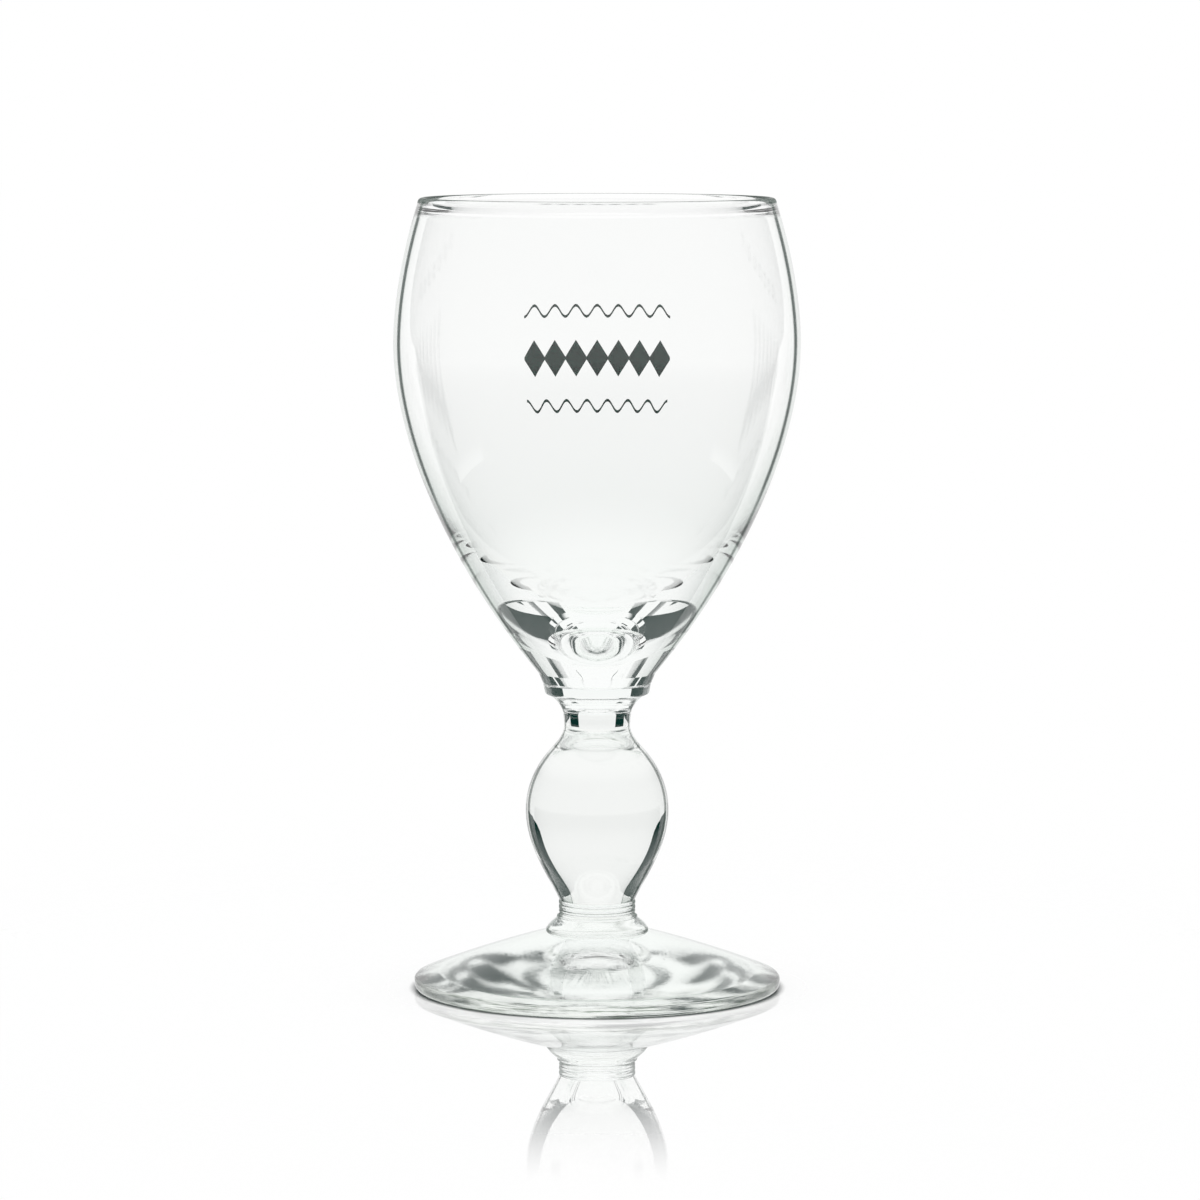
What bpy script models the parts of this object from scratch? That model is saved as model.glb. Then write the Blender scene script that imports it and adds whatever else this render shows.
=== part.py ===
"""A stemmed goblet of clear glass for hot drinks, built up from the foot as a glass shop builds it.

Five gathers of glass are shaped one by one and welded hot, face to face: a pressed foot, a lower collar, a
solid stem with a bulb in it, an upper collar, and a blown bowl with a fire-polished rim. A small ornament of
fired enamel lies on the outside of the bowl, on the +Y side. The origin is on the axis, on the table.
"""

import math

import bpy
import numpy as np

# Foot: a pressed disc with a low conical top, an upright edge, and a hollow underneath
FOOT_RADIUS = 0.0318
FOOT_HEIGHT = 0.0099
FOOT_EDGE_HEIGHT = 0.0019
FOOT_EDGE_TAPER = 0.0005
FOOT_EDGE_ROUND = 0.0003
FOOT_TOP_SLOPE = math.radians(15.0)
FOOT_TOP_PULL = 1.15
FOOT_SHOULDER_SLOPE = math.radians(64.0)
FOOT_SHOULDER_PULL = 0.22
REST_RING_WIDTH = 0.0046
HOLLOW_DEPTH = 0.00325
HOLLOW_SLOPE = math.radians(17.6)
HOLLOW_PULLS = (0.50, 0.88)

# Lower collar: a bell-shaped cushion with one fine ring round its top
LOWER_COLLAR_RADIUS = 0.00885
LOWER_COLLAR_HEIGHT = 0.0038
LOWER_COLLAR_EDGE = 0.0006
LOWER_RING_PROUD = 0.00022
LOWER_RING_HEIGHT = 0.0007
BELL_LEAN = math.radians(20.0)
BELL_TOP_PULL = 0.6
BELL_EDGE_PULL = 1.3

# Stem: a neck, a solid onion-shaped bulb and a second neck
LOWER_NECK_RADIUS = 0.0064
LOWER_NECK_LENGTH = 0.0016
BULB_RADIUS = 0.01238
BULB_UNDER = 0.0159
BULB_OVER = 0.0147
UPPER_NECK_RADIUS = 0.00576
UPPER_NECK_LENGTH = 0.0024
BULB_OVER_PULLS = (0.59, 1.75)
BULB_UNDER_PULLS = (1.13, 0.42)

# Upper collar: a cove that spreads to a tapered disc, with a wider thin disc on top
COVE_HEIGHT = 0.0040
COVE_LEAN = math.radians(40.0)
COVE_PULLS = (0.9, 1.1)
DISC_RADIUS = 0.0094
DISC_HEIGHT = 0.0019
DISC_TAPER = 0.0003
SEAT_RADIUS = 0.0101
SEAT_HEIGHT = 0.0008

# Bowl: a blown barrel, widest above its middle, on a thick base, with a beaded rim
BOWL_HEIGHT = 0.0820
WIDEST_RADIUS = 0.03504
WIDEST_LEVEL = 0.0570
RIM_RADIUS = 0.0308
RIM_BEAD = 0.00085
BEAD_WRAP = math.radians(215.0)
BEAD_BLEND = 0.0017
WALL = 0.00105
WALL_SWELL = 0.0021
SWELL_LEVEL = 0.0420
SWELL_REACH = 0.0300
SWELL_POWER = 4.0
BASE_THICKNESS = 0.0047
HEEL_LEVEL = 0.0250
DISH_PULLS = (2.2, 0.53)
BASE_CONE = math.radians(39.4)
SHOULDER_POWER = 1.8
SIDE_FULLNESS = 0.79
BASE_FULLNESS = 1.20

# Enamel ornament: a row of lozenges between two waved lines
LOZENGES = 7
LOZENGE_PITCH = 0.0039
LOZENGE_HALF_HEIGHT = 0.0033
LINK_HALF_HEIGHT = 0.00025
WAVE_LINE = 0.0005
WAVE_HEIGHT = 0.0010
WAVE_OFFSET = 0.0085
ORNAMENT_LEVEL = 0.0525
ENAMEL_THICKNESS = 0.00035

# Clearance at each weld and under the enamel
WELD_GAP = 0.0003

# Fineness of the facets: round the axis, across an enamel line, and along one of its waves
FACETS = 40
LINE_POINTS = 3
WAVE_POINTS = 6

# Where each piece stands, from the table up
LOWER_COLLAR_BASE = FOOT_HEIGHT
STEM_BASE = LOWER_COLLAR_BASE + LOWER_COLLAR_HEIGHT
STEM_HEIGHT = LOWER_NECK_LENGTH + BULB_UNDER + BULB_OVER + UPPER_NECK_LENGTH
UPPER_COLLAR_BASE = STEM_BASE + STEM_HEIGHT
UPPER_COLLAR_HEIGHT = COVE_HEIGHT + DISC_HEIGHT + SEAT_HEIGHT
BOWL_BASE = UPPER_COLLAR_BASE + UPPER_COLLAR_HEIGHT


def point(radius, height):
    """A point of a profile: its distance from the axis, and its height."""
    return np.array([radius, height])


def heading(lean, length):
    """A step downwards that leans out from the axis by an angle."""
    return length * np.array([math.sin(lean), -math.cos(lean)])


def glide(start, end, leave, arrive, steps):
    """A smooth curve between two points of a profile, leaving and arriving along two given vectors."""
    t = np.linspace(0.0, 1.0, steps + 1)[:, None]
    return (
        (2 * t**3 - 3 * t**2 + 1) * start
        + (t**3 - 2 * t**2 + t) * leave
        + (3 * t**2 - 2 * t**3) * end
        + (t**3 - t**2) * arrive
    )


def arc(centre, radius, first, last, steps):
    """An arc of a profile, from one angle to another, measured from straight out towards straight up."""
    angle = np.linspace(first, last, steps + 1)
    return centre + radius * np.stack([np.cos(angle), np.sin(angle)], axis=1)


def finish(name, colour, roughness, transmission):
    material = bpy.data.materials.new(name)
    material.use_nodes = True
    shader = material.node_tree.nodes["Principled BSDF"]
    shader.inputs["Base Color"].default_value = (*colour, 1.0)
    shader.inputs["Roughness"].default_value = roughness
    shader.inputs["Metallic"].default_value = 0.0
    shader.inputs["IOR"].default_value = 1.52
    shader.inputs["Transmission Weight"].default_value = transmission
    return material


def place(name, mesh, level, material, root):
    piece = bpy.data.objects.new(name, mesh)
    bpy.context.scene.collection.objects.link(piece)
    piece.parent = root
    piece.location.z = level
    mesh.materials.append(material)
    mesh.shade_smooth()
    return piece


def turned(name, profile, level, material, root):
    """A piece of revolution. Its profile starts and ends on the axis and runs down its outer side."""
    points = [(float(radius), 0.0, float(height)) for radius, height in profile]
    edges = [(i, i + 1) for i in range(len(points) - 1)]
    mesh = bpy.data.meshes.new(name)
    mesh.from_pydata(points, edges, [])
    piece = place(name, mesh, level, material, root)
    screw = piece.modifiers.new("turn", "SCREW")
    screw.axis = "Z"
    screw.angle = math.tau
    screw.steps = FACETS
    screw.render_steps = FACETS
    screw.use_merge_vertices = True
    screw.merge_threshold = 0.00001
    screw.use_smooth_shade = True
    return piece


def solid(side):
    """Closes a side, given from top to bottom, with a flat face at each end."""
    return np.vstack([point(0.0, side[0][1]), side, point(0.0, side[-1][1])])


def foot_profile():
    shoulder = point(FOOT_RADIUS, FOOT_EDGE_HEIGHT)
    seat = point(LOWER_COLLAR_RADIUS, FOOT_HEIGHT)
    reach = FOOT_RADIUS - LOWER_COLLAR_RADIUS
    leave = heading(math.pi / 2 - FOOT_TOP_SLOPE, FOOT_TOP_PULL * reach)
    arrive = heading(math.pi / 2 - FOOT_SHOULDER_SLOPE, FOOT_SHOULDER_PULL * reach)
    top = glide(seat, shoulder, leave, arrive, 9)
    toe = FOOT_RADIUS - FOOT_EDGE_TAPER - FOOT_EDGE_ROUND
    corner = arc(point(toe, FOOT_EDGE_ROUND), FOOT_EDGE_ROUND, 0.0, -math.pi / 2, 2)
    inner_edge = toe - REST_RING_WIDTH
    crown = point(0.0, HOLLOW_DEPTH)
    leave = heading(-math.pi / 2 - HOLLOW_SLOPE, HOLLOW_PULLS[0] * inner_edge)
    arrive = point(-HOLLOW_PULLS[1] * inner_edge, 0.0)
    hollow = glide(point(inner_edge, 0.0), crown, leave, arrive, 7)
    return np.vstack([point(0.0, FOOT_HEIGHT), top, corner, hollow])


def lower_collar_profile():
    half_ring = LOWER_RING_HEIGHT / 2
    ring_centre = point(LOWER_NECK_RADIUS, LOWER_COLLAR_HEIGHT - half_ring)
    half_round = arc(point(0.0, 0.0), 1.0, math.pi / 2, -math.pi / 2, 4)
    ring = ring_centre + half_round * point(LOWER_RING_PROUD, half_ring)
    edge = point(LOWER_COLLAR_RADIUS, WELD_GAP + LOWER_COLLAR_EDGE)
    spread = LOWER_COLLAR_RADIUS - LOWER_NECK_RADIUS
    leave = heading(BELL_LEAN, BELL_TOP_PULL * spread)
    arrive = heading(0.0, BELL_EDGE_PULL * spread)
    bell = glide(ring[-1], edge, leave, arrive, 6)
    return solid(np.vstack([ring, bell[1:], point(LOWER_COLLAR_RADIUS, WELD_GAP)]))


def stem_profile():
    waist = point(LOWER_NECK_RADIUS, LOWER_NECK_LENGTH)
    belly = point(BULB_RADIUS, LOWER_NECK_LENGTH + BULB_UNDER)
    throat = point(UPPER_NECK_RADIUS, LOWER_NECK_LENGTH + BULB_UNDER + BULB_OVER)
    over = glide(throat, belly, *[heading(0.0, pull * BULB_OVER) for pull in BULB_OVER_PULLS], 10)
    under = glide(belly, waist, *[heading(0.0, pull * BULB_UNDER) for pull in BULB_UNDER_PULLS], 10)
    top = point(UPPER_NECK_RADIUS, STEM_HEIGHT)
    bottom = point(LOWER_NECK_RADIUS, WELD_GAP)
    return solid(np.vstack([top, over, under[1:], bottom]))


def upper_collar_profile():
    seat_under = COVE_HEIGHT + DISC_HEIGHT
    disc_foot = point(DISC_RADIUS - DISC_TAPER, COVE_HEIGHT)
    neck = point(UPPER_NECK_RADIUS, WELD_GAP)
    spread = DISC_RADIUS - UPPER_NECK_RADIUS
    leave = heading(-COVE_LEAN, COVE_PULLS[0] * spread)
    arrive = heading(0.0, COVE_PULLS[1] * spread)
    cove = glide(disc_foot, neck, leave, arrive, 6)
    steps = [
        point(SEAT_RADIUS, UPPER_COLLAR_HEIGHT),
        point(SEAT_RADIUS, seat_under),
        point(DISC_RADIUS, seat_under),
    ]
    return solid(np.vstack([steps, cove]))


def bowl_outside():
    """The bowl's outer side from the rim bead down to the weld, in heights above the weld."""
    bead_level = BOWL_HEIGHT - RIM_BEAD
    rise = np.linspace(1.0, 0.0, 9)[:-1]
    height = WIDEST_LEVEL + rise * (bead_level - WIDEST_LEVEL)
    radius = WIDEST_RADIUS - (WIDEST_RADIUS - RIM_RADIUS) * rise**SHOULDER_POWER
    widest = point(WIDEST_RADIUS, WIDEST_LEVEL)
    base = point(SEAT_RADIUS, WELD_GAP)
    chord = float(np.linalg.norm(widest - base))
    leave = heading(0.0, SIDE_FULLNESS * chord)
    arrive = heading(-BASE_CONE, BASE_FULLNESS * chord)
    side = glide(widest, base, leave, arrive, 15)
    return np.vstack([np.stack([radius, height], axis=1), side])


def bowl_inside(outside):
    """The inner side from the middle of the bottom up to the bead: one wall in, swelling towards the heel."""
    along = np.gradient(outside, axis=0)
    inward = np.stack([along[:, 1], -along[:, 0]], axis=1)
    inward /= np.linalg.norm(inward, axis=1)[:, None]
    swell = np.clip((SWELL_LEVEL - outside[:, 1]) / SWELL_REACH, 0.0, 1.0) ** SWELL_POWER
    inset = outside + (WALL + WALL_SWELL * swell)[:, None] * inward
    under_bead = BOWL_HEIGHT - RIM_BEAD - BEAD_BLEND
    wall = inset[(inset[:, 1] > HEEL_LEVEL) & (inset[:, 1] < under_bead)]
    bottom = point(0.0, BASE_THICKNESS)
    heel = wall[-1]
    slant = (wall[-1] - wall[-2]) / np.linalg.norm(wall[-1] - wall[-2])
    leave = DISH_PULLS[0] * (heel[1] - BASE_THICKNESS) * slant
    arrive = point(-DISH_PULLS[1] * heel[0], 0.0)
    dish = glide(heel, bottom, leave, arrive, 10)
    return np.vstack([wall, dish[1:]])[::-1]


def bowl_profile():
    outside = bowl_outside()
    bead_centre = point(RIM_RADIUS - RIM_BEAD, BOWL_HEIGHT - RIM_BEAD)
    bead = arc(bead_centre, RIM_BEAD, BEAD_WRAP, 0.0, 7)
    weld = point(0.0, outside[-1][1])
    return np.vstack([bowl_inside(outside), bead, outside[1:], weld])


def ribbon(name, stations, material, root):
    """An enamel line on the bowl, given as (distance along, lower edge, upper edge) at each station."""
    outside = bowl_outside()[::-1]
    points = []
    for along, low, high in stations:
        for height in np.linspace(low, high, LINE_POINTS):
            surface = float(np.interp(height, outside[:, 1], outside[:, 0]))
            turn = math.pi / 2 + along / WIDEST_RADIUS
            radius = surface + WELD_GAP
            points.append((radius * math.cos(turn), radius * math.sin(turn), float(height)))
    faces = []
    for i in range(len(stations) - 1):
        for j in range(LINE_POINTS - 1):
            first = i * LINE_POINTS + j
            following = first + LINE_POINTS
            faces.append((first, following, following + 1, first + 1))
    mesh = bpy.data.meshes.new(name)
    mesh.from_pydata(points, [], faces)
    piece = place(name, mesh, BOWL_BASE, material, root)
    thicken = piece.modifiers.new("film", "SOLIDIFY")
    thicken.thickness = ENAMEL_THICKNESS
    thicken.offset = 1.0
    return piece


def lozenge_stations():
    """A chain of lozenges: links and widest places take turns along the row."""
    half_row = LOZENGES * LOZENGE_PITCH / 2
    stations = []
    for i in range(2 * LOZENGES + 1):
        half = LOZENGE_HALF_HEIGHT if i % 2 else LINK_HALF_HEIGHT
        along = i * LOZENGE_PITCH / 2 - half_row
        stations.append((along, ORNAMENT_LEVEL - half, ORNAMENT_LEVEL + half))
    return stations


def wave_stations(side):
    """A waved line over or under the lozenges, one wave to a lozenge."""
    half_row = LOZENGES * LOZENGE_PITCH / 2
    stations = []
    for i in range(WAVE_POINTS * LOZENGES + 1):
        swing = -WAVE_HEIGHT * math.cos(math.tau * i / WAVE_POINTS)
        middle = ORNAMENT_LEVEL + side * (WAVE_OFFSET + swing)
        along = i * LOZENGE_PITCH / WAVE_POINTS - half_row
        stations.append((along, middle - WAVE_LINE / 2, middle + WAVE_LINE / 2))
    return stations


for old in list(bpy.data.objects):
    bpy.data.objects.remove(old)

axis = bpy.data.objects.new("glass_axis", None)
bpy.context.scene.collection.objects.link(axis)

clear_glass = finish("clear_glass", (0.93, 0.97, 0.95), 0.02, 1.0)
green_enamel = finish("green_enamel", (0.012, 0.065, 0.052), 0.30, 0.0)

turned("foot", foot_profile(), 0.0, clear_glass, axis)
turned("lower_collar", lower_collar_profile(), LOWER_COLLAR_BASE, clear_glass, axis)
turned("stem", stem_profile(), STEM_BASE, clear_glass, axis)
turned("upper_collar", upper_collar_profile(), UPPER_COLLAR_BASE, clear_glass, axis)
turned("bowl", bowl_profile(), BOWL_BASE, clear_glass, axis)

ribbon("enamel_lozenges", lozenge_stations(), green_enamel, axis)
ribbon("enamel_wave_upper", wave_stations(1.0), green_enamel, axis)
ribbon("enamel_wave_lower", wave_stations(-1.0), green_enamel, axis)
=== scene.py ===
import math

import bpy
import numpy as np
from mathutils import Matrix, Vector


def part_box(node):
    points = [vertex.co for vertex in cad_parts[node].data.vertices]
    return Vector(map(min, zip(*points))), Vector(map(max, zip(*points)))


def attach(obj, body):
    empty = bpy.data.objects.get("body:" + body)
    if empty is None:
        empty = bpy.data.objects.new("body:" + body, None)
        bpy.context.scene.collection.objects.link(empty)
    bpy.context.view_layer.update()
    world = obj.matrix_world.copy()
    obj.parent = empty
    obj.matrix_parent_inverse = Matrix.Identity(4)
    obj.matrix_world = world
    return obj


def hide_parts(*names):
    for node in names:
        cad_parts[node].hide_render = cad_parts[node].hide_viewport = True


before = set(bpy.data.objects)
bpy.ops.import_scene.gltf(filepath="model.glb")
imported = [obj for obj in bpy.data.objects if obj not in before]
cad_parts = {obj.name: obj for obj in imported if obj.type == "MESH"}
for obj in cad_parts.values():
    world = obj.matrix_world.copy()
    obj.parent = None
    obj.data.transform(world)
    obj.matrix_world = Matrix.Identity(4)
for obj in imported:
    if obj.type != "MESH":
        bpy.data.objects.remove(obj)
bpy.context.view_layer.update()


# Foot. A disc of clear soda-lime glass pressed in a mould: a low cone on top, an upright edge, a flat ring
# to stand on and a hollow inside that ring. The collar above is welded to its flat crown.

MM = 0.001
TURNS = 160
SKIN, WELD, TRIM, RIM = range(4)
GLASS_IOR = 1.52


def point(radius, height):
    return np.array([radius, height])


def heading(lean, length):
    """A step downwards that leans out from the axis by so many degrees."""
    lean = math.radians(lean)
    return length * np.array([math.sin(lean), -math.cos(lean)])


def unit(vector):
    return vector / np.linalg.norm(vector)


def glide(start, end, leave, arrive, steps):
    """A smooth stretch of a profile that leaves and arrives along two given vectors."""
    t = np.linspace(0.0, 1.0, steps + 1)[:, None]
    rise = 3 * t**2 - 2 * t**3
    return (1 - rise) * start + rise * end + (t**3 - 2 * t**2 + t) * leave + (t**3 - t**2) * arrive


def rounded(corners, steps=6):
    """A stretch of a profile through (radius, height, rounding) corners, with fire-softened bends."""
    path = [point(*corners[0][:2])]
    for before, corner, after in zip(corners, corners[1:], corners[2:]):
        bend = point(*corner[:2])
        enter = bend + corner[2] * unit(point(*before[:2]) - bend)
        leave = bend + corner[2] * unit(point(*after[:2]) - bend)
        for t in np.linspace(0.0, 1.0, steps + 1):
            path.append((1 - t) ** 2 * enter + 2 * t * (1 - t) * bend + t**2 * leave)
    path.append(point(*corners[-1][:2]))
    return np.array(path)


def turned(name, runs):
    """A closed piece of revolution. Its runs go from the axis out, down the outer side and back to the axis.

    Each run is (points, slot): SKIN for the outside, WELD for a face fused to the next piece, TRIM for
    a second finish on the same piece and RIM for the bead of the bowl. The edge between runs is left sharp.
    """
    rows = [runs[0][0][0]]
    slots, sharp = [], set()
    for points, slot in runs:
        for place in points[1:]:
            rows.append(place)
            slots.append(slot)
        sharp.add(len(rows) - 1)
    angle = np.linspace(0.0, math.tau, TURNS, endpoint=False)
    on_axis = 0.0001 * MM
    verts, first, faces, face_slots, row_of = [], [], [], [], []
    for number, (radius, height) in enumerate(rows):
        first.append(len(verts))
        around = angle if radius > on_axis else angle[:1]
        verts += [(radius * math.cos(a), radius * math.sin(a), height) for a in around]
        row_of += [number] * len(around)
    first.append(len(verts))
    for number, slot in enumerate(slots):
        upper, lower, end = first[number : number + 3]
        for j in range(TURNS):
            k = (j + 1) % TURNS
            if lower - upper == 1:
                faces.append((upper, lower + j, lower + k))
            elif end - lower == 1:
                faces.append((upper + j, lower, upper + k))
            else:
                faces.append((upper + j, lower + j, lower + k, upper + k))
            face_slots.append(slot)
    mesh = bpy.data.meshes.new(name)
    mesh.from_pydata(verts, [], faces)
    mesh.polygons.foreach_set("material_index", face_slots)
    mesh.shade_smooth()
    for edge in mesh.edges:
        a, b = edge.vertices
        if row_of[a] == row_of[b] and row_of[a] in sharp:
            edge.use_edge_sharp = True
    piece = bpy.data.objects.new(name, mesh)
    bpy.context.scene.collection.objects.link(piece)
    return piece


class Wire:
    """A value in a node tree. Arithmetic on it adds Math nodes, and make() adds any other node."""

    def __init__(self, tree, socket=None):
        self.tree = tree
        self.socket = socket

    def make(self, kind, settings=None, values=None, output=0):
        node = self.tree.nodes.new(kind)
        for name, value in (settings or {}).items():
            setattr(node, name, value)
        for name, value in (values or {}).items():
            if isinstance(value, Wire):
                self.tree.links.new(value.socket, node.inputs[name])
            else:
                node.inputs[name].default_value = value
        return Wire(self.tree, node.outputs[output]) if node.outputs else None

    def math(self, operation, left, right):
        return self.make("ShaderNodeMath", {"operation": operation}, {0: left, 1: right})

    def __add__(self, other):
        return self.math("ADD", self, other)

    def __radd__(self, other):
        return self.math("ADD", other, self)

    def __sub__(self, other):
        return self.math("SUBTRACT", self, other)

    def __rsub__(self, other):
        return self.math("SUBTRACT", other, self)

    def __mul__(self, other):
        return self.math("MULTIPLY", self, other)

    def __rmul__(self, other):
        return self.math("MULTIPLY", other, self)


def new_material(name):
    material = bpy.data.materials.new(name)
    material.use_nodes = True
    material.node_tree.nodes.clear()
    return material, Wire(material.node_tree)


def noise(place, scale, detail, roughness=0.5):
    values = {"Vector": place, "Scale": scale, "Detail": detail, "Roughness": roughness}
    return place.make("ShaderNodeTexNoise", values=values)


def stretched(place, by):
    return place.make("ShaderNodeVectorMath", {"operation": "MULTIPLY"}, {0: place, 1: by})


def distance(place):
    """How far a place is from the origin."""
    return place.make("ShaderNodeVectorMath", {"operation": "LENGTH"}, {0: place}, output="Value")


def smooth(value, start, end, first=0.0, last=1.0):
    """A soft step from the first value to the last."""
    return value.make(
        "ShaderNodeMapRange",
        {"interpolation_type": "SMOOTHSTEP"},
        {"Value": value, "From Min": start, "From Max": end, "To Min": first, "To Max": last},
    )


def mixed(factor, first, last):
    """A colour between two others, each of them a plain colour or one that is mixed already."""
    first, last = (c if isinstance(c, Wire) else (*c, 1.0) for c in (first, last))
    values = {"Factor": factor, 6: first, 7: last}
    return factor.make("ShaderNodeMix", {"data_type": "RGBA"}, values, output=2)


def raised(height, depth, under=None):
    """A bump so many metres deep, on top of another if there is one."""
    values = {"Strength": 1.0, "Distance": depth, "Height": height}
    if under:
        values["Normal"] = under
    return height.make("ShaderNodeBump", values=values)


def polished(colour, bump):
    """Fire-polished glass of a given colour."""
    return colour.make(
        "ShaderNodeBsdfPrincipled",
        values={
            "Base Color": colour,
            "Roughness": 0.0,
            "IOR": GLASS_IOR,
            "Transmission Weight": 1.0,
            "Normal": bump,
        },
    )


def turning_away(wire):
    """How far a face turns away from the eye: 0 where it faces it and 1 at the outline."""
    return wire.make("ShaderNodeLayerWeight", values={"Blend": 0.5}, output="Facing")


def clear_glass(name, tint, limb, line, ripple, rings=0.0, ringed_to=1.0, drawn=0.0, thick=None):
    """Fire-polished glass with the faint ripple that pressing or blowing leaves.

    Towards its outline a face is darkened. Over a limb, (start, end, tint), a face that turns away takes a
    deeper tint, partly the real tint of light that runs a long way inside the glass and partly painted
    shade, and over a line, (start, end, shade), a dark diffuse shader is mixed in as a painted dark outline.
    Rings are a mould's fine turning lines, out to a given radius, and drawn lines run out from the axis.
    A wall that is thick low down, (full up to, gone at, how much sooner the limb starts, tint), has its own
    tint there.
    """
    limb_start, limb_end, limb_tint_and_shade = limb
    line_start, line_end, outline_shade = line
    line_blur = 0.04
    ring_waver = 1.5 * MM
    material, wire = new_material(name)
    place = wire.make("ShaderNodeTexCoord", output="Object")
    swell = noise(place, scale=45.0, detail=1.0, roughness=0.4)
    bump = raised(swell, ripple)
    if rings or drawn:
        level = stretched(place, (1.0, 1.0, 0.0))
    if rings:
        reach = distance(level)
        grain = wire.make(
            "ShaderNodeTexNoise",
            {"noise_dimensions": "1D"},
            {"W": reach + swell * ring_waver, "Scale": 2200.0, "Detail": 2.0, "Roughness": 0.6},
        )
        ringed = smooth(reach, 0.7 * ringed_to, ringed_to, 1.0, 0.0)
        bump = raised(grain * ringed, rings, bump)
    if drawn:
        outward = wire.make("ShaderNodeVectorMath", {"operation": "NORMALIZE"}, {0: level})
        bump = raised(noise(outward, scale=26.0, detail=2.0, roughness=0.6), drawn, bump)
    facing = turning_away(wire)
    grazing, middle = facing, tint
    if thick:
        thick_full, thick_gone, sooner, thick_tint = thick
        height = wire.make("ShaderNodeSeparateXYZ", values={"Vector": place}, output="Z")
        solid = smooth(height, thick_full, thick_gone, 1.0, 0.0)
        grazing = facing + solid * sooner
        middle = mixed(solid, tint, thick_tint)
    # Painted shade: a face that turns away darkens towards the limb tint, partly the glass's real deeper
    # tint and partly a painted dark outline.
    colour = mixed(smooth(grazing, limb_start, limb_end), middle, limb_tint_and_shade)
    shader = polished(colour, bump)
    # Painted dark outline: over the line a dark diffuse shader is mixed into the front faces of the glass.
    enter = smooth(facing, line_start - line_blur, line_start, 0.0, outline_shade)
    leave = smooth(facing, line_end, line_end + line_blur, 1.0, 0.0)
    behind = wire.make("ShaderNodeNewGeometry", output="Backfacing")
    painted_outline = wire.make("ShaderNodeBsdfDiffuse", values={"Color": (0.02, 0.05, 0.036, 1.0)})
    share = enter * leave * (1.0 - behind)
    both = wire.make("ShaderNodeMixShader", values={"Fac": share, 1: shader, 2: painted_outline})
    wire.make("ShaderNodeOutputMaterial", values={"Surface": both})
    return material


def foot_edge_glass():
    """The upright edge, seen through the whole width of the foot: deep green, with fine drag lines and
    painted shade at its ends.
    """
    material, wire = new_material("foot_edge_glass")
    place = wire.make("ShaderNodeTexCoord", output="Object")
    drag = noise(stretched(place, (1.0, 1.0, 22.0)), scale=120.0, detail=3.0, roughness=0.65)
    lines = smooth(drag, 0.50, 0.64)
    # Painted shade: where the edge turns away from the eye at its ends it darkens towards deep green.
    painted_end_shade = smooth(turning_away(wire), 0.2, 0.8, 0.0, 0.75)
    colour = mixed(wire.math("MAXIMUM", lines, painted_end_shade), (0.95, 0.98, 0.945), (0.10, 0.14, 0.10))
    shader = polished(colour, raised(drag, 0.02 * MM))
    wire.make("ShaderNodeOutputMaterial", values={"Surface": shader})
    return material


def weld_face():
    """The face where two gathers were fused: glass goes on through it, so nothing shows there."""
    material, wire = new_material("weld")
    through = wire.make("ShaderNodeBsdfTransparent")
    wire.make("ShaderNodeOutputMaterial", values={"Surface": through})
    return material


fused = weld_face()


def settle(piece, node, skin, *finishes):
    """Gives a piece its skin, its welds and any other finishes, in the order of its slots, and its node."""
    for material in (skin, fused, *finishes):
        piece.data.materials.append(material)
    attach(piece, "root")
    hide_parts(node)


foot_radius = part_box("foot")[1][0]
foot_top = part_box("foot")[1][2]
seat_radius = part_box("lower_collar")[1][0]
foot_reach = foot_radius - seat_radius
edge_height = 2.15 * MM
edge_set_back = 0.35 * MM
rest_ring_radius = 26.4 * MM
hollow_depth = 3.25 * MM
hollow_slope = 17.6
crown_lean = 75
skirt_lean = 67
foot_seat = point(seat_radius, foot_top)
foot_edge = point(foot_radius - edge_set_back, edge_height)
cone = glide(
    foot_seat,
    foot_edge,
    heading(crown_lean, 1.15 * foot_reach),
    heading(skirt_lean, 0.52 * foot_reach),
    steps=48,
)
edge = rounded(
    [
        (*foot_edge, 0.0),
        (foot_radius, 1.85 * MM, 0.3 * MM),
        (foot_radius - 0.05 * MM, 0.7 * MM, 0.3 * MM),
        (foot_radius - 0.6 * MM, 0.0, 0.35 * MM),
        (rest_ring_radius, 0.0, 0.0),
    ]
)
hollow = glide(
    edge[-1],
    point(0.0, hollow_depth),
    heading(-90 - hollow_slope, 13.2 * MM),
    point(-23.3 * MM, 0.0),
    steps=40,
)
foot = turned(
    "foot_glass",
    [
        (np.array([point(0.0, foot_top), foot_seat]), WELD),
        (cone, SKIN),
        (edge, TRIM),
        (hollow, SKIN),
    ],
)
foot_glass = clear_glass(
    "foot_glass",
    tint=(0.92, 0.96, 0.93),
    limb=(0.7, 0.97, (0.60, 0.65, 0.62)),
    line=(0.92, 0.98, 0.12),
    ripple=0.03 * MM,
    rings=0.006 * MM,
    drawn=0.006 * MM,
)
settle(foot, "foot", foot_glass, foot_edge_glass())


# Lower collar. A small cushion of glass dropped hot on the foot and pressed to a bell, with fine rings
# tooled round its top where the stem was welded on, and a thin lip that spread on the foot.

stem_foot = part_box("lower_collar")[1][2]
lower_neck = 6.4 * MM
neck_bead = 0.45 * MM
groove = point(6.9 * MM, stem_foot - 1.0 * MM)
lip_radius = seat_radius - 0.12 * MM
lip_top = foot_top + 0.6 * MM
lip_bead = 0.3 * MM


def bead_line(radius, top, height, swell, steps=8):
    """A fine tooled ring: half a round that stands out from a profile, from its top down."""
    turn = np.linspace(math.pi / 2, -math.pi / 2, steps + 1)
    return np.stack([radius + swell * np.cos(turn), top + 0.5 * height * (np.sin(turn) - 1)], axis=1)


def collar_glass(name):
    return clear_glass(
        name,
        tint=(0.96, 0.985, 0.97),
        limb=(0.6, 0.95, (0.15, 0.19, 0.17)),
        line=(0.70, 0.80, 0.4),
        ripple=0.02 * MM,
    )


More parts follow.
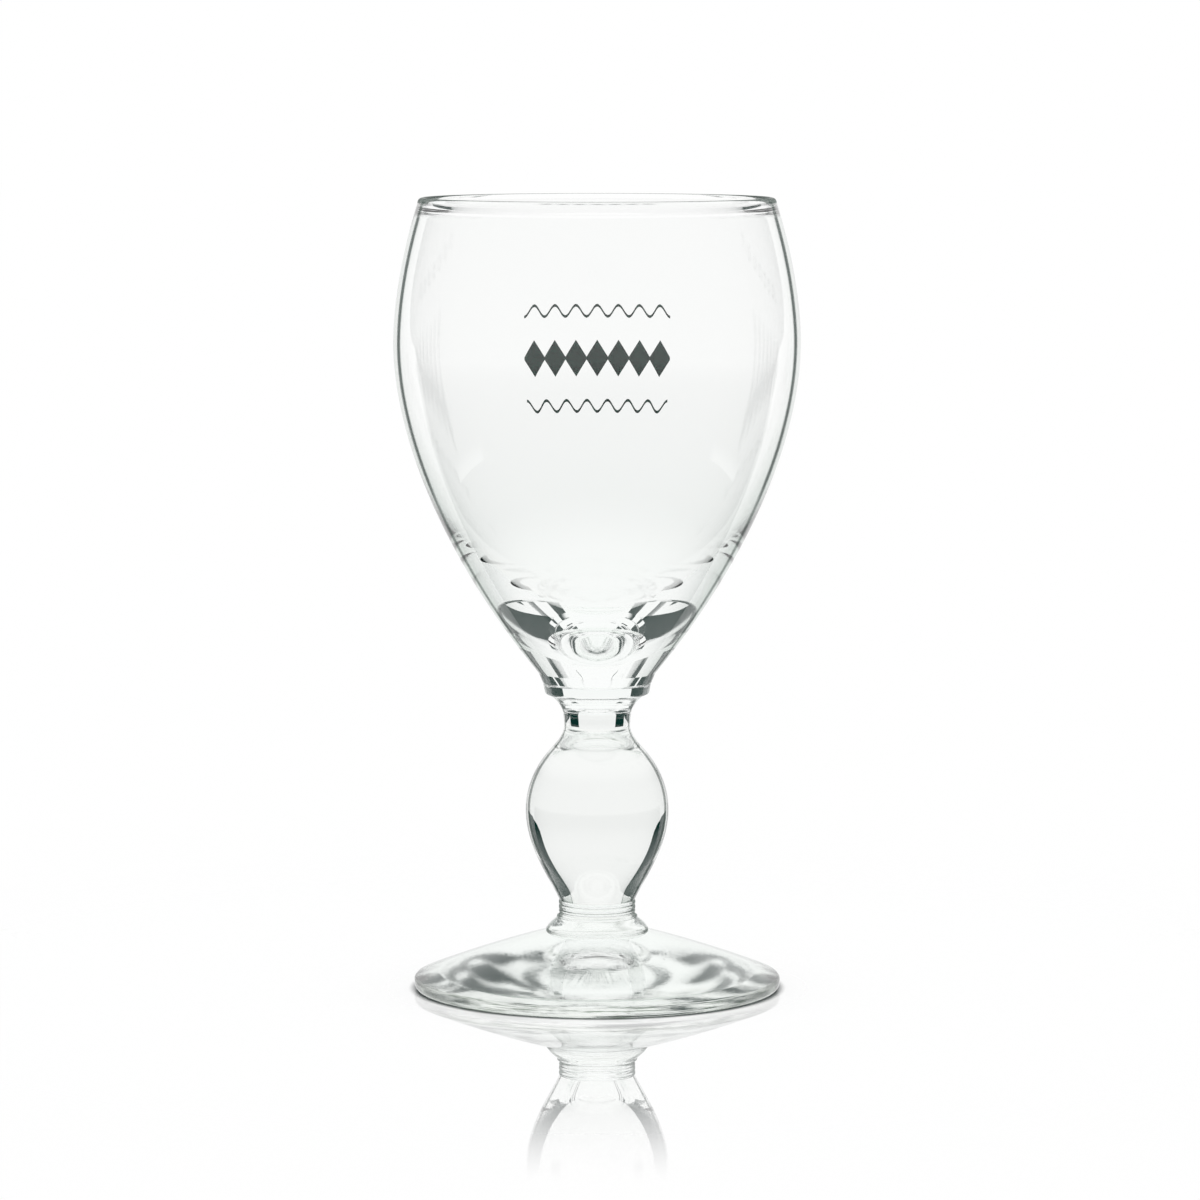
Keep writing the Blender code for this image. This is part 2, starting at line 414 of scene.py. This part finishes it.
under_neck = point(lower_neck, stem_foot - neck_bead)
neck_ring = np.vstack(
    [
        bead_line(lower_neck, stem_foot, neck_bead, swell=0.24 * MM),
        glide(under_neck, groove, heading(30, 0.9 * MM), heading(50, 0.9 * MM), steps=10)[1:],
        bead_line(*groove, height=0.3 * MM, swell=0.08 * MM)[1:],
    ]
)
lip_edge = point(lip_radius, lip_top)
bell = glide(neck_ring[-1], lip_edge, heading(48, 2.6 * MM), heading(20, 2.2 * MM), steps=20)
lip = np.vstack(
    [
        bead_line(lip_radius, lip_top, lip_bead, swell=0.1 * MM),
        bead_line(lip_radius, lip_top - lip_bead, height=0.25 * MM, swell=0.12 * MM)[1:],
        [foot_seat],
    ]
)
lower_collar = turned(
    "lower_collar_glass",
    [
        (np.array([point(0.0, stem_foot), neck_ring[0]]), WELD),
        (neck_ring, TRIM),
        (bell, SKIN),
        (lip, TRIM),
        (np.array([foot_seat, point(0.0, foot_top)]), WELD),
    ],
)
ring_glass = clear_glass(
    "ring_glass",
    tint=(0.95, 0.975, 0.96),
    limb=(0.42, 0.80, (0.06, 0.09, 0.07)),
    line=(0.60, 0.90, 0.5),
    ripple=0.02 * MM,
)
settle(lower_collar, "lower_collar", collar_glass("lower_collar_glass"), ring_glass)


# Stem. A solid rod of clear glass drawn from one gather, with an onion-shaped bulb left in it. Its upper
# neck is waisted, and its lower end runs down into two tooled rings, where it is welded to the collar.

stem_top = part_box("stem")[1][2]
bulb_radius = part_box("stem")[1][0]
upper_ring = 0.8 * MM
lower_ring = 0.9 * MM
flare_lean = -13
shoulder_lean = 43
taper_lean = -27
upper_weld = point(5.95 * MM, stem_top)
waist = point(5.7 * MM, stem_top - 2.5 * MM)
bulb_shoulder = point(8.0 * MM, stem_top - 6.5 * MM)
belly = point(bulb_radius, stem_top - 17.1 * MM)
lower_end = point(lower_neck + 0.1 * MM, stem_foot + upper_ring + lower_ring)
side = np.vstack(
    [
        glide(upper_weld, waist, heading(flare_lean, 2.6 * MM), heading(0, 2.4 * MM), steps=12)[:-1],
        glide(waist, bulb_shoulder, heading(0, 4.2 * MM), heading(shoulder_lean, 4.6 * MM), steps=24)[:-1],
        glide(bulb_shoulder, belly, heading(shoulder_lean, 10.5 * MM), heading(0, 13.0 * MM), steps=40)[:-1],
        glide(belly, lower_end, heading(0, 18.5 * MM), heading(taper_lean, 17.0 * MM), steps=56),
    ]
)
end_rings = np.vstack(
    [
        bead_line(lower_end[0] - 0.05 * MM, lower_end[1], upper_ring, swell=0.22 * MM),
        bead_line(lower_neck, lower_end[1] - upper_ring, lower_ring, swell=0.26 * MM)[1:],
    ]
)
stem = turned(
    "stem_glass",
    [
        (np.array([point(0.0, stem_top), side[0]]), WELD),
        (side, SKIN),
        (np.vstack([side[-1:], end_rings]), TRIM),
        (np.array([end_rings[-1], point(0.0, stem_foot)]), WELD),
    ],
)
stem_glass = clear_glass(
    "stem_glass",
    tint=(0.93, 0.945, 0.93),
    limb=(0.72, 0.95, (0.05, 0.07, 0.06)),
    line=(0.68, 0.74, 0.6),
    ripple=0.01 * MM,
)
settle(stem, "stem", stem_glass, ring_glass)


# Upper collar. A second cushion of glass. A deep cove spreads from the neck to two tapered bands with a fine
# groove between them, and the bowl was set on the upper one.

bowl_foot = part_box("upper_collar")[1][2]
bowl_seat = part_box("upper_collar")[1][0]
cove_top = point(8.85 * MM, bowl_foot - 3.6 * MM)
cove_lean = -76
bands = rounded(
    [
        (bowl_seat, bowl_foot, 0.0),
        (bowl_seat - 0.2 * MM, bowl_foot - 0.5 * MM, 0.3 * MM),
        (9.45 * MM, bowl_foot - 1.6 * MM, 0.12 * MM),
        (9.28 * MM, bowl_foot - 1.72 * MM, 0.08 * MM),
        (9.33 * MM, bowl_foot - 1.9 * MM, 0.1 * MM),
        (9.05 * MM, bowl_foot - 3.4 * MM, 0.2 * MM),
        (*cove_top, 0.0),
    ]
)
cove = glide(cove_top, upper_weld, heading(cove_lean, 4.2 * MM), heading(flare_lean, 3.4 * MM), steps=30)
upper_collar = turned(
    "upper_collar_glass",
    [
        (np.array([point(0.0, bowl_foot), bands[0]]), WELD),
        (bands, SKIN),
        (cove, SKIN),
        (np.array([cove[-1], point(0.0, stem_top)]), WELD),
    ],
)
settle(upper_collar, "upper_collar", collar_glass("upper_collar_glass"))


# Bowl. Clear glass blown into a barrel, widest above its middle, with a thin wall, a thick dished base and
# a bead melted round the rim. It was welded on the upper collar.

rim_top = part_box("bowl")[1][2]
widest_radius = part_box("bowl")[1][0]
widest = point(widest_radius, bowl_foot + 57.0 * MM)
base = point(bowl_seat, bowl_foot)
base_lean = -39.4
rim_radius = 30.8 * MM
rim_curve = 1.8
bead = 0.85 * MM
bead_sweep = 215
wall = 1.05 * MM
swell_depth = 2.1 * MM
swell_top = bowl_foot + 42 * MM
swell_reach = 30 * MM
swell_power = 4.06
dish_top = bowl_foot + 28.48 * MM
bottom = point(0.0, bowl_foot + 5.15 * MM)
dimple_depth = 0.5 * MM
dimple_radius = 6.61 * MM

rise = np.linspace(1.0, 0.0, 41)[:-1]
barrel_shoulder = np.stack(
    [
        widest_radius - (widest_radius - rim_radius) * rise**rim_curve,
        widest[1] + rise * (rim_top - bead - widest[1]),
    ],
    axis=1,
)
chord = np.linalg.norm(widest - base)
barrel = glide(widest, base, heading(0, 0.79 * chord), heading(base_lean, 1.2 * chord), steps=90)
outside = np.vstack([barrel_shoulder, barrel])
along = np.gradient(outside, axis=0)
inward = np.stack([along[:, 1], -along[:, 0]], axis=1) / np.linalg.norm(along, axis=1)[:, None]
thicker = swell_depth * np.clip((swell_top - outside[:, 1]) / swell_reach, 0.0, 1.0) ** swell_power
inset = outside + (wall + thicker)[:, None] * inward
inset = inset[(inset[:, 1] > dish_top) & (inset[:, 1] < rim_top - 3 * bead)]
dish_leave = 2.2 * (inset[-1][1] - bottom[1]) * unit(inset[-1] - inset[-2])
dish = glide(inset[-1], bottom, dish_leave, point(-0.53 * inset[-1][0], 0.0), steps=48)
dish[:, 1] -= dimple_depth * np.exp(-((dish[:, 0] / dimple_radius) ** 4))
bead_angle = np.linspace(math.radians(bead_sweep), 0.0, 29)
bead_round = point(rim_radius - bead, rim_top - bead) + bead * np.stack(
    [np.cos(bead_angle), np.sin(bead_angle)], axis=1
)
under_bead = glide(
    inset[0],
    bead_round[0],
    0.8 * MM * unit(inset[0] - inset[1]),
    0.8 * MM * unit(bead_round[1] - bead_round[0]),
    steps=10,
)
inside = np.vstack([dish[::-1], inset[::-1][1:], under_bead[1:-1]])
bowl = turned(
    "bowl_glass",
    [
        (inside, TRIM),
        (np.vstack([inside[-1:], bead_round]), RIM),
        (outside, SKIN),
        (np.array([outside[-1], point(0.0, bowl_foot)]), WELD),
    ],
)
bowl_tint = (0.996, 1.0, 0.996)
bowl_glass = clear_glass(
    "bowl_glass",
    tint=bowl_tint,
    limb=(0.56, 1.0, (0.28, 0.34, 0.30)),
    line=(0.765, 0.785, 0.6),
    ripple=0.02 * MM,
    thick=(bowl_foot + 20.0 * MM, bowl_foot + 55.0 * MM, 0.20, (0.95, 0.968, 0.955)),
)
bowl_inside = clear_glass(
    "bowl_inside",
    tint=bowl_tint,
    limb=(0.85, 0.99, (0.80, 0.86, 0.82)),
    line=(0.75, 0.79, 0.0),
    ripple=0.02 * MM,
    rings=0.005 * MM,
    ringed_to=9.0 * MM,
)
bead_glass = clear_glass(
    "bead_glass",
    tint=bowl_tint,
    limb=(0.55, 0.90, (0.15, 0.20, 0.17)),
    line=(0.68, 0.96, 0.7),
    ripple=0.01 * MM,
)
settle(bowl, "bowl", bowl_glass, bowl_inside, bead_glass)


# Enamel ornament. A row of lozenges between two waved lines, screened in dark green glass enamel on the
# outside of the bowl and fired on.

LOZENGES = 7
LOZENGE_STEPS = 16
WAVE_STEPS = 24
pitch = 3.9 * MM
half_row = LOZENGES * pitch / 2
ornament_level = bowl_foot + 52.5 * MM
lozenge_half = 3.3 * MM
line_half = 0.25 * MM
wave_offset = 8.5 * MM
wave_swing = 1.0 * MM
film_foot = -0.02 * MM
film = 0.05 * MM


def green_enamel():
    material, wire = new_material("green_enamel")
    place = wire.make("ShaderNodeTexCoord", output="Object")
    mottle = noise(place, scale=900.0, detail=3.0)
    colour = mixed(mottle, (0.002, 0.034, 0.022), (0.004, 0.054, 0.037))
    shader = wire.make(
        "ShaderNodeBsdfPrincipled",
        values={"Base Color": colour, "Roughness": 0.35, "IOR": 1.5, "Specular IOR Level": 0.08},
    )
    wire.make("ShaderNodeOutputMaterial", values={"Surface": shader})
    return material


enamel = green_enamel()


def printed(name, node, stations):
    """A film that follows the bowl. Each station is a distance round it, a lower edge and an upper edge."""
    across = 9
    points = []
    for layer in (film_foot, film_foot + film):
        for along_row, low, high in stations:
            turn = math.pi / 2 + along_row / widest_radius
            for height in np.linspace(low, high, across):
                radius = np.interp(height, outside[::-1, 1], outside[::-1, 0]) + layer
                points.append((radius * math.cos(turn), radius * math.sin(turn), height))
    count = len(stations) * across
    faces = []
    for i in range(len(stations) - 1):
        for j in range(across - 1):
            a = i * across + j
            b = a + across
            faces.append((a, b, b + 1, a + 1))
            faces.append((count + a + 1, count + b + 1, count + b, count + a))
    border = [i * across for i in range(len(stations))]
    border += [border[-1] + j for j in range(1, across)]
    border += [i * across + across - 1 for i in range(len(stations) - 2, -1, -1)]
    border += list(range(across - 2, 0, -1))
    for a, b in zip(border, border[1:] + border[:1]):
        faces.append((count + a, count + b, b, a))
    mesh = bpy.data.meshes.new(name)
    mesh.from_pydata(points, [], faces)
    mesh.materials.append(enamel)
    piece = bpy.data.objects.new(name, mesh)
    bpy.context.scene.collection.objects.link(piece)
    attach(piece, "root")
    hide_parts(node)


row = []
for i in range(LOZENGE_STEPS * LOZENGES + 1):
    fullness = 1 - abs(2 * (i % LOZENGE_STEPS) / LOZENGE_STEPS - 1)
    half = line_half + fullness * (lozenge_half - line_half)
    row.append((i * pitch / LOZENGE_STEPS - half_row, ornament_level - half, ornament_level + half))
printed("lozenge_print", "enamel_lozenges", row)
for name, above in (("upper", 1), ("lower", -1)):
    waved = []
    for i in range(WAVE_STEPS * LOZENGES + 1):
        swing = wave_swing * math.cos(math.tau * i / WAVE_STEPS)
        middle = ornament_level + above * (wave_offset - swing)
        waved.append((i * pitch / WAVE_STEPS - half_row, middle - line_half, middle + line_half))
    printed(f"wave_print_{name}", f"enamel_wave_{name}", waved)


# Floor. A white table top under a clear gloss, which mirrors the foot and the stem close by. The foot only
# stands on it.

WHITE = (1.0, 1.0, 1.0)
floor_half = 6.0
floor_drop = 0.05 * MM
mirror_share = (0.22, 0.78)
mirror_best = 47 * MM
mirror_wanes = 85 * MM
mirror_gone = 165 * MM
own_light = 0.82
contact_shadow_inner = foot_radius - 0.6 * MM
contact_shadow_outer = foot_radius + 1.2 * MM


def white_table():
    """White paint under a clear gloss, which mirrors best a little way out from the foot.

    It has a painted contact shadow, dark where the foot touches it, and is plain white to light that the
    glass has bent.
    """
    material, wire = new_material("white_table")
    reach = distance(wire.make("ShaderNodeTexCoord", output="Object"))
    mirror = smooth(reach, foot_radius, mirror_best, *mirror_share)
    mirror = mirror * smooth(reach, mirror_wanes, mirror_gone, 1.0, 0.0)
    clear_of_contact_shadow = smooth(reach, contact_shadow_inner, contact_shadow_outer)
    bent = wire.make("ShaderNodeLightPath", output="Is Transmission Ray")
    # Painted contact shadow: the table goes dark in a ring round the foot's resting edge, except to light
    # the glass has bent.
    shade = mixed(wire.math("MAXIMUM", clear_of_contact_shadow, bent), (0.05, 0.06, 0.06), WHITE)
    paint = wire.make("ShaderNodeBsdfDiffuse", values={"Color": shade})
    lift = wire.make("ShaderNodeEmission", values={"Color": shade, "Strength": 1.0})
    lit = own_light + bent * (1.0 - own_light)
    pale = wire.make("ShaderNodeMixShader", values={"Fac": lit, 1: paint, 2: lift})
    gloss = wire.make("ShaderNodeBsdfGlossy", values={"Color": (*WHITE, 1.0), "Roughness": 0.0})
    both = wire.make("ShaderNodeMixShader", values={"Fac": mirror * (1.0 - bent), 1: pale, 2: gloss})
    wire.make("ShaderNodeOutputMaterial", values={"Surface": both})
    return material


floor_mesh = bpy.data.meshes.new("table")
corners = [(x * floor_half, y * floor_half, -floor_drop) for x, y in ((-1, -1), (1, -1), (1, 1), (-1, 1))]
floor_mesh.from_pydata(corners, [], [(0, 1, 2, 3)])
floor_mesh.materials.append(white_table())
floor = bpy.data.objects.new("table", floor_mesh)
bpy.context.scene.collection.objects.link(floor)


# Dark surround. Dark cards stand or lie round the glass, as in a studio, and the glass bends and mirrors
# them into its outlines and its base. Each card fades to white at its far end and towards the glass. One
# dark sheet lies on the table under one side of the foot as a painted shadow there.

DARK = (0.004, 0.028, 0.023)
BOTH_WALLS_FACES = 4
FAR = 1.5


def unlit(name, near, fades, least=0, most=None, flat=None):
    """A dark card that is white at first, darkens over its near stretch, and fades to white again.

    Light that leaves the glass sees it, after so many mirrorings at the least and at the most, unless it
    passed both walls of the bowl. A card fades with height. A flat one fades with reach instead, and from
    front to back between two depths, and it shows mirrored on the glass too.
    """
    material, wire = new_material(name)
    place = wire.make("ShaderNodeTexCoord", output="Object")
    away = distance(place)
    if flat:
        back = wire.make("ShaderNodeSeparateXYZ", values={"Vector": place}, output="Y")
        gone = wire.math("MAXIMUM", smooth(away, *fades), smooth(back, *flat))
    else:
        height = wire.make("ShaderNodeSeparateXYZ", values={"Vector": place}, output="Z")
        gone = smooth(height, *fades)
    shade = mixed(wire.math("MAXIMUM", gone, 1.0 - smooth(away, *near)), DARK, WHITE)
    glow = wire.make("ShaderNodeEmission", values={"Color": shade, "Strength": 1.0})
    through = wire.make("ShaderNodeBsdfTransparent")
    behind = wire.make("ShaderNodeNewGeometry", output="Backfacing")
    passed = wire.make("ShaderNodeLightPath", output="Transmission Depth")
    mirrored = wire.make("ShaderNodeLightPath", output="Glossy Depth")
    seen = (1.0 - behind) * wire.math("LESS_THAN", passed, BOTH_WALLS_FACES - 0.5)
    if not flat:
        seen = seen * wire.make("ShaderNodeLightPath", output="Is Transmission Ray")
    if least:
        seen = seen * wire.math("GREATER_THAN", mirrored, least - 0.5)
    if most is not None:
        seen = seen * wire.math("LESS_THAN", mirrored, most + 0.5)
    both = wire.make("ShaderNodeMixShader", values={"Fac": seen, 1: through, 2: glow})
    wire.make("ShaderNodeOutputMaterial", values={"Surface": both})
    return material


def card(name, rows, material):
    """A card round the glass. Each row is a reach, a height and the two compass angles it runs between."""
    across = 25
    points = []
    for reach, height, start, end in rows:
        for a in np.linspace(math.radians(start), math.radians(end), across):
            points.append((reach * math.sin(a), reach * math.cos(a), height))
    leftwards = rows[0][3] < rows[0][2]
    faces = []
    for i in range(len(rows) - 1):
        for j in range(across - 1):
            a = i * across + j
            face = (a, a + across, a + across + 1, a + 1)
            faces.append(face if leftwards else face[::-1])
    mesh = bpy.data.meshes.new(name)
    mesh.from_pydata(points, [], faces)
    mesh.materials.append(material)
    standing = bpy.data.objects.new(name, mesh)
    bpy.context.scene.collection.objects.link(standing)
    standing.visible_camera = False
    standing.visible_diffuse = False
    standing.visible_shadow = False


wing = unlit("wing", near=(0.0, 0.01), fades=(2.4, 3.0))
under = unlit("under", near=(0.12, 0.16), fades=(0.5, 1.0), least=2, most=2)
beyond = unlit("beyond", near=(0.18, 0.22), fades=(0.55, 0.85))
corner = unlit("corner", near=(0.30, 0.38), fades=(0.22, 0.40), least=1)
strip = unlit("strip", near=(0.0, 0.01), fades=(0.5, 1.0), most=0)
# Painted shadow: a dark sheet on the table under one side of the foot, seen through it after three
# mirrorings.
painted_foot_shadow = unlit("painted_foot_shadow", near=(0.0, 0.001), fades=(0.5, 1.0), least=3)
over = unlit("over", near=(0.03, 0.12), fades=(4.0, 5.0), least=1, most=2)
front = unlit("front", near=(0.03, 0.12), fades=(0.2, 1.0), least=1, most=1, flat=(0.2, 0.75))

# The skirts lie a little above one another on the floor. A wing's inner edge leans, so it is given as the
# compass angle at each reach along its skirt and at each height up its wall.
wing_lift = 0.9 * MM
under_lift = 0.8 * MM
corner_lift = 0.6 * MM
beyond_lift = 0.4 * MM
over_lift = 0.3 * MM
front_lift = 0.2 * MM
painted_foot_shadow_drop = 0.02 * MM
wing_outer = 68
wing_skirt = ((0.45, 66), (0.6, 62), (0.9, 58), (FAR, 55))
wing_wall = ((0.04, 53), (0.08, 49), (0.10, 47.5), (0.19, 44), (0.30, 43), (0.58, 42), (0.81, 41))
wing_wall += ((0.97, 40.5), (1.20, 39.5), (3.0, 38))
wing_edge = [(r, wing_lift, a) for r, a in wing_skirt] + [(FAR, h, a) for h, a in wing_wall]
beyond_rows = ((0.18, beyond_lift), (FAR, beyond_lift), (FAR, 0.85))
corner_rows = ((0.30, corner_lift), (FAR - 0.05, corner_lift), (FAR - 0.05, 0.40))
over_rows = ((0.03, over_lift), (FAR - 0.1, over_lift), (FAR - 0.1, 5.0))
for name, turn in (("right", 1), ("left", -1)):
    card(f"card_wing_{name}", [(r, h, a * turn, wing_outer * turn) for r, h, a in wing_edge], wing)
    card(f"card_under_{name}", [(r, under_lift, 38 * turn, 62 * turn) for r in (0.12, FAR)], under)
    card(f"card_beyond_{name}", [(r, h, 76 * turn, 104 * turn) for r, h in beyond_rows], beyond)
    card(f"card_corner_{name}", [(r, h, 22 * turn, 30 * turn) for r, h in corner_rows], corner)
    card(f"card_strip_{name}", [(0.03, h, 18.5 * turn, 34 * turn) for h in (0.039, 0.0595)], strip)
# The painted shadow under one side of the foot, just above the table.
card("card_painted_foot_shadow", [(r, -painted_foot_shadow_drop, 0, 16) for r in (0.0135, 0.0365)], painted_foot_shadow)
card("card_over", [(r, h, 60, 300) for r, h in over_rows], over)
card("card_front", [(r, front_lift, 60, 300) for r in (0.03, 1.0)], front)


# Light and camera. An even white tent all round, and a long lens a little higher than the rim, on a stand
# in front and tilted down.

camera_place = (0.0005, -0.9116, 0.1599)
camera_tilt = 5.780
focal_length = 159.1
sensor = 36.0

scene = bpy.context.scene
world = bpy.data.worlds.new("white_tent")
world.use_nodes = True
world.node_tree.nodes.clear()
sky = Wire(world.node_tree)
tent = sky.make("ShaderNodeBackground", values={"Color": (*WHITE, 1.0), "Strength": 1.0})
sky.make("ShaderNodeOutputWorld", values={"Surface": tent})
scene.world = world

lens = bpy.data.cameras.new("camera")
lens.sensor_width = sensor
lens.lens = focal_length
camera = bpy.data.objects.new("camera", lens)
scene.collection.objects.link(camera)
camera.location = camera_place
camera.rotation_euler = (math.radians(90 - camera_tilt), 0.0, 0.0)
scene.camera = camera

scene.view_settings.view_transform = "Standard"
scene.cycles.max_bounces = 40
scene.cycles.transmission_bounces = 40
scene.cycles.glossy_bounces = 20
scene.cycles.transparent_max_bounces = 64
